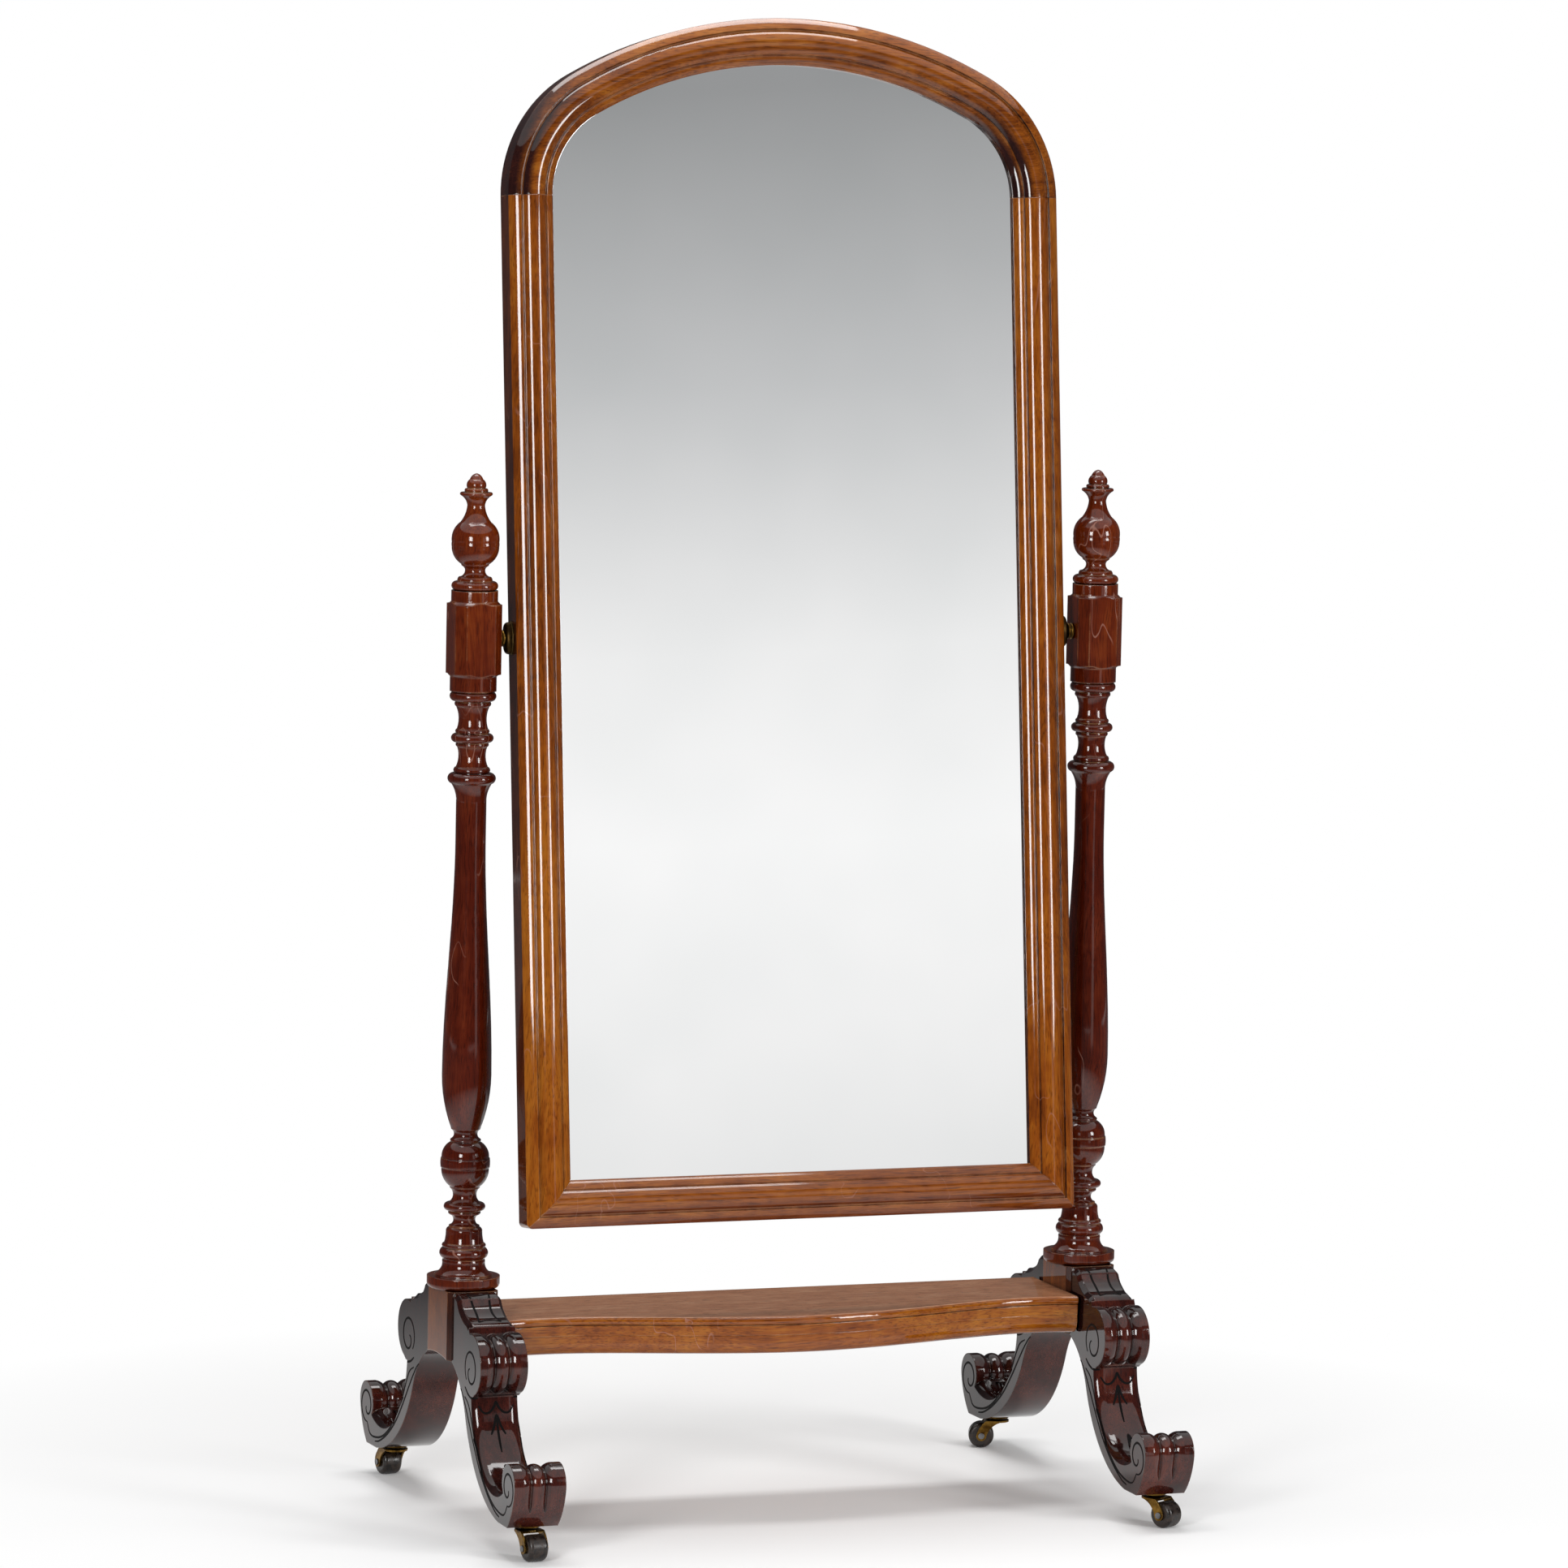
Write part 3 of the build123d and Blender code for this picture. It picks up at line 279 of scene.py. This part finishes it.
def aged_metal(name, dark, light, edge, roughness):
    """Cast and turned brass or steel. The eye sees a soft metal gleam under cloudy tarnish, in
    patches about 12 mm across, dark in the hollows, rubbed bright on the edges, with pits of
    0.5 mm that are drawn 1.5 mm wide to show."""
    material = new_material(name)
    place = node(material, "ShaderNodeTexCoord").outputs["Object"]
    normal = node(material, "ShaderNodeNewGeometry").outputs["Normal"]
    cloud = node(
        material, "ShaderNodeTexNoise", Vector=place, Scale=TARNISH, Detail=5.0, Roughness=0.65,
    ).outputs["Fac"]
    colour = node(
        material, "ShaderNodeValToRGB", {"stops": [(0.38, dark), (0.62, light)]}, Fac=cloud,
    ).outputs[0]
    hollow = node(material, "ShaderNodeAmbientOcclusion", {"samples": 4}, Distance=5 * MM).outputs["AO"]
    hollow_darkening = node(
        material, "ShaderNodeMapRange", Value=hollow, From_Min=0.3, From_Max=0.85, To_Min=0.2,
    ).outputs[0]
    colour = node(material, "ShaderNodeMix", DARKEN, i0=1.0, i6=colour, i7=hollow_darkening).outputs[2]
    softened = node(material, "ShaderNodeBevel", {"samples": 4}, Radius=0.6 * MM).outputs[0]
    flatness = node(
        material, "ShaderNodeVectorMath", {"operation": "DOT_PRODUCT"}, i0=softened, i1=normal,
    ).outputs["Value"]
    rubbed = node(
        material, "ShaderNodeMapRange", Value=flatness, From_Min=0.985, From_Max=0.92, To_Max=0.6,
    ).outputs[0]
    colour = node(material, "ShaderNodeMix", BLEND, i0=rubbed, i6=colour, i7=linear(edge)).outputs[2]
    rough = node(
        material, "ShaderNodeMapRange", Value=cloud, From_Min=0.3, From_Max=0.7,
        To_Min=roughness + 0.15, To_Max=roughness,
    ).outputs[0]
    pits = node(material, "ShaderNodeTexNoise", Vector=place, Scale=PIT, Detail=2.0).outputs["Fac"]
    bump = node(
        material, "ShaderNodeBump", Strength=0.3, Distance=0.1 * MM, Height=pits, Normal=softened,
    ).outputs[0]
    metal = node(
        material, "ShaderNodeBsdfPrincipled", Base_Color=colour, Metallic=1.0, Roughness=rough, Normal=bump,
    )
    node(material, "ShaderNodeOutputMaterial", Surface=metal.outputs[0])
    return material


brass = aged_metal("aged_cast_brass", "#4A3212", "#8E6C30", "#B8965C", 0.3)
bronze = aged_metal("dark_bronzed_brass", "#241A10", "#4E3A1C", "#B8965C", 0.38)
steel = aged_metal("plain_turned_steel", "#606062", "#88888A", "#B0B0B2", 0.35)

# Silvered plate glass: a clear mirror, a little grey and cloudy, in patches of 250 mm, from its old silver.
SILVER_CLOUD = METRE_IN_MM / 250.0
mirror_finish = new_material("silvered_plate_glass")
glass_place = node(mirror_finish, "ShaderNodeTexCoord").outputs["Object"]
silver_cloud = node(
    mirror_finish, "ShaderNodeTexNoise", Vector=glass_place, Scale=SILVER_CLOUD, Detail=2.0,
).outputs["Fac"]
silver = node(
    mirror_finish, "ShaderNodeValToRGB", {"stops": [(0.3, "#F1F2F2"), (0.7, "#F8F8F8")]}, Fac=silver_cloud,
).outputs[0]
silver_shader = node(
    mirror_finish, "ShaderNodeBsdfPrincipled", Base_Color=silver, Metallic=1.0, Roughness=0.01,
)
node(mirror_finish, "ShaderNodeOutputMaterial", Surface=silver_shader.outputs[0])

# Dark brown glazed ceramic of the castor wheels: almost black, its gloss dulled by dust in patches of 7 mm.
DUST = METRE_IN_MM / 7.0
ceramic = new_material("dark_glazed_ceramic")
wheel_place = node(ceramic, "ShaderNodeTexCoord").outputs["Object"]
dust = node(
    ceramic, "ShaderNodeTexNoise", Vector=wheel_place, Scale=DUST, Detail=4.0, Roughness=0.65,
).outputs["Fac"]
glaze_colour = node(
    ceramic, "ShaderNodeValToRGB", {"stops": [(0.4, "#120D0B"), (0.68, "#33261E")]}, Fac=dust,
).outputs[0]
glaze_rough = node(
    ceramic, "ShaderNodeMapRange", Value=dust, From_Min=0.35, From_Max=0.7, To_Min=0.2, To_Max=0.5,
).outputs[0]
glaze = node(ceramic, "ShaderNodeBsdfPrincipled", Base_Color=glaze_colour, Roughness=glaze_rough, IOR=1.5)
node(ceramic, "ShaderNodeOutputMaterial", Surface=glaze.outputs[0])

# Each node's finish, by the end of its name
finish_of = {
    "standard": turned, "finial": turned, "base_block": block_wood, "leg": carved,
    "stile": stile_wood, "bottom_rail": rail_wood, "arched_head": head_wood,
    "shelf_board": shelf_wood, "shelf_front_rail": shelf_wood, "shelf_back_rail": shelf_wood,
    "shelf_cleat": plain_wood, "backboard": plain_wood, "glass_blocks": plain_wood, "leg_dowels": plain_wood,
    "mirror_glass": mirror_finish, "pivot_boss": bronze, "pivot_bush": brass, "pivot_pin": steel,
    "castor_plate": brass, "castor_fork": brass, "castor_axle": steel, "castor_wheel": ceramic,
    "screws": steel,
}
for name, piece in nodes.items():
    ending = max((key for key in finish_of if name.endswith(key)), key=len)
    piece.data.materials.clear()
    piece.data.materials.append(finish_of[ending])

# Carving on the legs
# A cut line in polished wood: black down the middle, painted shade of the cut with old polish in it,
# dark red wood at its lips, waxed in patches of 8 mm.
WAX = METRE_IN_MM / 8.0
cut_line = new_material("shade_and_polish_in_carved_line")
from_middle = node(cut_line, "ShaderNodeAttribute", {"attribute_name": "across"}).outputs["Fac"]
lip_share = node(cut_line, "ShaderNodeMapRange", Value=from_middle, From_Min=0.75, From_Max=1.0).outputs[0]
line_place = node(cut_line, "ShaderNodeTexCoord").outputs["Object"]
wax = node(cut_line, "ShaderNodeTexNoise", Vector=line_place, Scale=WAX, Detail=3.0).outputs["Fac"]
lip = node(
    cut_line, "ShaderNodeValToRGB", {"stops": [(0.38, "#281010"), (0.62, "#4A2218")]}, Fac=wax,
).outputs[0]
# The black middle is painted shade of the cut, with old polish in it.
line_colour = node(
    cut_line, "ShaderNodeMix", BLEND, i0=lip_share, i6=linear("#040202"), i7=lip,
).outputs[2]
line_shader = node(
    cut_line, "ShaderNodeBsdfPrincipled", Base_Color=line_colour, Roughness=0.6, IOR=1.5, Specular_IOR_Level=0.1,
)
node(cut_line, "ShaderNodeOutputMaterial", Surface=line_shader.outputs[0])

LINE_WIDTH = 3.6 * MM
LINE_PLACES = np.array([-0.5, -0.36, -0.14, 0.0, 0.14, 0.36, 0.5])
LINE_RISES = np.array([-0.3, 0.25, 0.08, 0.05, 0.08, 0.25, -0.3]) * MM
PROBE_START, PROBE_REACH, FEWEST_POINTS = 0.05, 0.12, 3


def smooth_path(points, steps=12):
    """Curve through the points, one row each. Between two points it is the Catmull-Rom cubic,
    whose heading at a point is half the step from the point before to the point after."""
    points = np.asarray(points, float)
    ends = np.vstack([2 * points[0] - points[1], points, 2 * points[-1] - points[-2]])
    t = np.linspace(0, 1, steps, endpoint=False)[None, :, None]
    a, b, c, d = (ends[i:len(ends) - 3 + i, None, :] for i in range(4))
    curve = (
        b + 0.5 * t * (c - a) + t ** 2 * (a - 2.5 * b + 2 * c - 0.5 * d)
        + t ** 3 * (1.5 * b - 0.5 * a - 1.5 * c + 0.5 * d)
    )
    return np.vstack([curve.reshape(-1, points.shape[1]), points[-1]])


def volute(centre, first, last, radius, hold, steps=46):
    """Spiral from angle first to last, in degrees. Its radius is radius x (1 - 0.88 s to the power
    hold), where s goes from 0 to 1 along it, so a higher hold keeps it round for longer."""
    s = np.linspace(0, 1, steps)
    angle = np.radians(first + (last - first) * s)
    reach = radius * (1 - 0.88 * s ** hold)
    return np.stack([centre[0] + reach * np.cos(angle), centre[1] + reach * np.sin(angle)], 1)


def carved_lines(name, leg, lines):
    """Lines cut into a leg, as one piece. Each line is an array of points and a direction, along
    which the points are laid on the leg's surface. Its section is a lip at each edge and a hollow
    between them: a point is path + side x width x u + outward x rise(u), with u from -1/2 to 1/2.
    The width narrows towards the ends as the 0.3 power of a sine."""
    corners, polygons = [v.co[:] for v in leg.data.vertices], [p.vertices[:] for p in leg.data.polygons]
    tree = BVHTree.FromPolygons(corners, polygons)
    vertices, faces, across = [], [], []
    for points, inward in lines:
        inward = Vector(inward)
        hits = [tree.ray_cast(Vector(point) - inward * PROBE_START, inward, PROBE_REACH) for point in points]
        hits = [hit for hit in hits if hit[0] is not None]
        if len(hits) < FEWEST_POINTS:
            continue
        path = np.array([hit[0] for hit in hits])
        outward = np.array([hit[1] for hit in hits])
        outward *= -np.sign(outward @ np.array(inward))[:, None]
        side = np.cross(np.gradient(path, axis=0), outward)
        side /= np.linalg.norm(side, axis=1)[:, None] + 1e-12
        width = LINE_WIDTH * np.sin(np.pi * np.linspace(0.04, 0.96, len(path))) ** 0.3
        grid = (
            path[:, None] + side[:, None] * (LINE_PLACES[None, :, None] * width[:, None, None])
            + outward[:, None] * LINE_RISES[None, :, None]
        )
        count, wide = grid.shape[:2]
        index = sum(len(part) for part in vertices) + np.arange(count * wide).reshape(count, wide)
        quads = np.stack([index[:-1, :-1], index[:-1, 1:], index[1:, 1:], index[1:, :-1]], -1)
        vertices.append(grid.reshape(-1, 3))
        faces.append(quads.reshape(-1, 4))
        across.append(np.tile(np.abs(LINE_PLACES) * 2, count))
    faces = np.vstack(faces)
    mesh = bpy.data.meshes.new(name)
    mesh.from_pydata(np.vstack(vertices).tolist(), [], faces.tolist())
    values = mesh.attributes.new("across", "FLOAT", "POINT")
    values.data.foreach_set("value", np.concatenate(across).astype(np.float32))
    mesh.polygons.foreach_set("use_smooth", np.ones(len(faces), bool))
    mesh.materials.append(cut_line)
    piece = bpy.data.objects.new(name, mesh)
    bpy.context.scene.collection.objects.link(piece)
    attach(piece, "stand")


# Lines on a leg's side, as (reach from the standard's axis, height) in millimetres
side_lines = [
    volute((120.5, 202.0), 224, -190, 21.0, 5),
    volute((277.0, 87.0), -95, 330, 20.0, 3),
    smooth_path([
        (100, 166), (116, 158), (129, 141), (142, 120), (162, 97),
        (186, 76), (212, 61), (238, 54), (262, 54), (275.3, 67.1),
    ]),
    smooth_path([(100, 178), (112, 171.5), (126, 168.5), (140, 170.5)]),
    smooth_path([
        (60, 182), (84, 172), (102, 156), (120, 136), (140, 113), (166, 87), (196, 66), (226, 52), (244, 48),
    ]),
]
# Brace and leaf veins on a leg's front, as (sideways, height) in millimetres
front_lines = [smooth_path([
    (-22, 160), (-16, 152), (-9, 152), (-3, 158), (0, 164), (3, 158), (9, 152), (16, 152), (22, 160),
])]
for vein in (
    [(0, 150), (0, 130), (0, 108)], [(-1, 149), (-4, 137), (-9, 127)], [(1, 149), (4, 137), (9, 127)],
    [(0, 96), (0, 86), (0, 78)], [(-1, 95), (-4, 86), (-9, 80)], [(1, 95), (4, 86), (9, 80)],
):
    front_lines.append(smooth_path(vein))
# Sunk panel on top of a leg's head, as (sideways, reach) in millimetres, its four edges bowed inwards
panel_half, panel_near, panel_far, panel_bow, panel_steps = 14.0, 55.0, 105.0, 4.0, 30
t = np.linspace(0, 1, panel_steps)
bow = panel_bow * np.sin(np.pi * t)
panel_lines = [(sign * (panel_half - bow), panel_near + (panel_far - panel_near) * t) for sign in (-1, 1)]
panel_lines += [(panel_half * (2 * t - 1), panel_near + bow), (panel_half * (2 * t - 1), panel_far - bow)]
# Where the probes set out from: beside, in front of and above the leg
probe_side, probe_front, probe_height = 0.03, 0.2, 0.27

for side_name in ("left", "right"):
    for end_name, end_sign in (("front", -1), ("back", 1)):
        low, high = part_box(f"{side_name}_{end_name}_leg")
        middle = (low[0] + high[0]) / 2
        lines = []
        for flank in (-1, 1):
            for line in side_lines:
                sideways = np.full(len(line), middle + flank * probe_side)
                points = np.stack([sideways, end_sign * line[:, 0] * MM, line[:, 1] * MM], 1)
                lines.append((points, (-flank, 0, 0)))
        for line in front_lines:
            reach = np.full(len(line), end_sign * probe_front)
            points = np.stack([middle + line[:, 0] * MM, reach, line[:, 1] * MM], 1)
            lines.append((points, (0, -end_sign, 0)))
        for sideways, reach in panel_lines:
            height = np.full(panel_steps, probe_height)
            points = np.stack([middle + sideways * MM, end_sign * reach * MM, height], 1)
            lines.append((points, DOWN))
        carved_lines(f"{side_name}_{end_name}_leg_carving", nodes[f"{side_name}_{end_name}_leg"], lines)


# Studio
WALL_STEPS = 48


def studio_wall(name, radius, first, last, top, material):
    """Part of an upright round wall that only reflections see: (radius sin a, -radius cos a, z),
    a from first to last, in degrees from -Y towards +X, and z from 0 to top."""
    angle = np.radians(np.linspace(first, last, WALL_STEPS + 1))
    rim = np.stack([radius * np.sin(angle), -radius * np.cos(angle)], 1)
    vertices = np.vstack([np.column_stack([rim, np.full(WALL_STEPS + 1, z)]) for z in (0.0, top)])
    i = np.arange(WALL_STEPS)
    faces = np.stack([i, i + 1, i + WALL_STEPS + 2, i + WALL_STEPS + 1], 1)
    mesh = bpy.data.meshes.new(name)
    mesh.from_pydata(vertices.tolist(), [], faces.tolist())
    mesh.materials.append(material)
    wall = bpy.data.objects.new(name, mesh)
    bpy.context.scene.collection.objects.link(wall)
    wall.visible_camera = wall.visible_diffuse = wall.visible_shadow = wall.visible_transmission = False


# Dark grey glow all round, seen only in reflections: a painted reflection of dark surroundings.
grey_reflection_glow = new_material("grey_reflection_wall")
wall_glow = node(grey_reflection_glow, "ShaderNodeEmission", Color=linear("#4A4A4C"))
node(grey_reflection_glow, "ShaderNodeOutputMaterial", Surface=wall_glow.outputs[0])
studio_wall("grey_reflection_wall", 6.5, 0, 360, 5.5, grey_reflection_glow)

# White glowing sheet, grey towards its top, seen only in reflections, in the direction that the glass shows to
# the camera: a painted reflection in the mirror, no lamp.
sheet_foot, sheet_head = 0.4, 2.9
sheet_tones = [
    (0.0, "#E6E6E6"), (0.2, "#F6F6F6"), (0.36, "#FFFFFF"), (0.5, "#F6F6F6"), (0.7, "#C8C9CA"), (0.92, "#9A9B9C"),
]
mirror_reflection_glow = new_material("painted_mirror_reflection")
sheet_place = node(mirror_reflection_glow, "ShaderNodeTexCoord").outputs["Object"]
sheet_height = node(mirror_reflection_glow, "ShaderNodeSeparateXYZ", Vector=sheet_place).outputs["Z"]
sheet_level = node(
    mirror_reflection_glow, "ShaderNodeMapRange", Value=sheet_height, From_Min=sheet_foot, From_Max=sheet_head,
).outputs[0]
sheet_tone = node(mirror_reflection_glow, "ShaderNodeValToRGB", {"stops": sheet_tones}, Fac=sheet_level).outputs[0]
sheet_glow = node(mirror_reflection_glow, "ShaderNodeEmission", Color=sheet_tone)
node(mirror_reflection_glow, "ShaderNodeOutputMaterial", Surface=sheet_glow.outputs[0])
studio_wall("painted_mirror_reflection", 5.2, 14.6, 25.8, 3.0, mirror_reflection_glow)

# Matt white floor, which goes over to the white background for the camera and to grey in reflections.
floor_reach = 6
floor_material = new_material("matt_white_floor")
floor_place = node(floor_material, "ShaderNodeTexCoord").outputs["Object"]
distance = node(
    floor_material, "ShaderNodeVectorMath", {"operation": "LENGTH"}, i0=floor_place,
).outputs["Value"]
matt = node(floor_material, "ShaderNodeBsdfDiffuse", Color=linear("#FAFAFA")).outputs[0]
white = node(floor_material, "ShaderNodeEmission", Color=(1, 1, 1, 1), Strength=1.0).outputs[0]
grey = node(floor_material, "ShaderNodeEmission", Color=linear("#626264"), Strength=1.0).outputs[0]
to_white = node(floor_material, "ShaderNodeMapRange", Value=distance, From_Min=0.45, From_Max=1.3).outputs[0]
to_grey = node(floor_material, "ShaderNodeMapRange", Value=distance, From_Min=1.0, From_Max=1.9).outputs[0]
seen = node(floor_material, "ShaderNodeMixShader", Fac=to_white, i1=matt, i2=white).outputs[0]
reflected = node(floor_material, "ShaderNodeMixShader", Fac=to_grey, i1=matt, i2=grey).outputs[0]
is_camera = node(floor_material, "ShaderNodeLightPath").outputs["Is Camera Ray"]
both = node(floor_material, "ShaderNodeMixShader", Fac=is_camera, i1=reflected, i2=seen).outputs[0]
node(floor_material, "ShaderNodeOutputMaterial", Surface=both)
floor_corners = [(x * floor_reach, y * floor_reach, 0) for x, y in ((-1, -1), (1, -1), (1, 1), (-1, 1))]
floor_mesh = bpy.data.meshes.new("floor")
floor_mesh.from_pydata(floor_corners, [], [(0, 1, 2, 3)])
floor_mesh.materials.append(floor_material)
floor = bpy.data.objects.new("floor", floor_mesh)
bpy.context.scene.collection.objects.link(floor)


def soft_box(name, azimuth, away, height, width, length, power, aim_height):
    """Soft box at an azimuth from -Y towards +X, turned to face a point on the middle line."""
    lamp = bpy.data.lights.new(name, "AREA")
    lamp.shape = "RECTANGLE"
    lamp.size, lamp.size_y = width, length
    lamp.energy = power
    made = bpy.data.objects.new(name, lamp)
    bpy.context.scene.collection.objects.link(made)
    turn = math.radians(azimuth)
    made.location = (away * math.sin(turn), -away * math.cos(turn), height)
    made.rotation_euler = (Vector((0, 0, aim_height)) - made.location).to_track_quat("-Z", "Y").to_euler()
    made.visible_camera = False


front_box = {"away": 4.0, "height": 1.5, "width": 0.9, "length": 1.4, "aim_height": 1.3}
soft_box("left_box", azimuth=-45.0, power=75.0, **front_box)
soft_box("right_box", azimuth=37.0, power=70.0, **front_box)
soft_box("overhead_box", azimuth=180.0, away=0.3, height=3.9, width=2.6, length=1.1, power=70.0, aim_height=0.9)

# White background for the camera, glass and metal, and a plain even light from all round.
SURROUNDING_LIGHT = 0.38
world = bpy.data.worlds.new("white_surroundings")
bpy.context.scene.world = world
world.use_nodes = True
world.node_tree.nodes.clear()
rays = node(world, "ShaderNodeLightPath").outputs
larger = {"operation": "MAXIMUM"}
clear = node(
    world, "ShaderNodeMath", larger, i0=rays["Is Camera Ray"], i1=rays["Is Transmission Ray"],
).outputs[0]
shown = node(world, "ShaderNodeMath", larger, i0=clear, i1=rays["Is Glossy Ray"]).outputs[0]
strength = node(world, "ShaderNodeMapRange", Value=shown, To_Min=SURROUNDING_LIGHT, To_Max=1.0).outputs[0]
backdrop = node(world, "ShaderNodeBackground", Color=(1, 1, 1, 1), Strength=strength)
node(world, "ShaderNodeOutputWorld", Surface=backdrop.outputs[0])

# Camera at the photograph's viewing angle
camera_place = Vector((-3.484, -9.386, 1.9815))
yaw, pitch, roll = math.radians(20.356), math.radians(6.267), math.radians(1.195)
focal_pixels, photo_width = 10236.0, 1932.0
forward = Vector((math.sin(yaw) * math.cos(pitch), math.cos(yaw) * math.cos(pitch), -math.sin(pitch)))
level = Vector((math.cos(yaw), -math.sin(yaw), 0))
upward = level.cross(forward)
right = level * math.cos(roll) + upward * math.sin(roll)
top = upward * math.cos(roll) - level * math.sin(roll)
lens = bpy.data.cameras.new("camera")
lens.sensor_width = 36.0
lens.lens = focal_pixels / photo_width * lens.sensor_width
lens.clip_end = 200.0
camera = bpy.data.objects.new("camera", lens)
bpy.context.scene.collection.objects.link(camera)
camera.matrix_world = Matrix.Translation(camera_place) @ Matrix((right, top, -forward)).transposed().to_4x4()
bpy.context.scene.camera = camera
bpy.context.scene.view_settings.view_transform = "Standard"
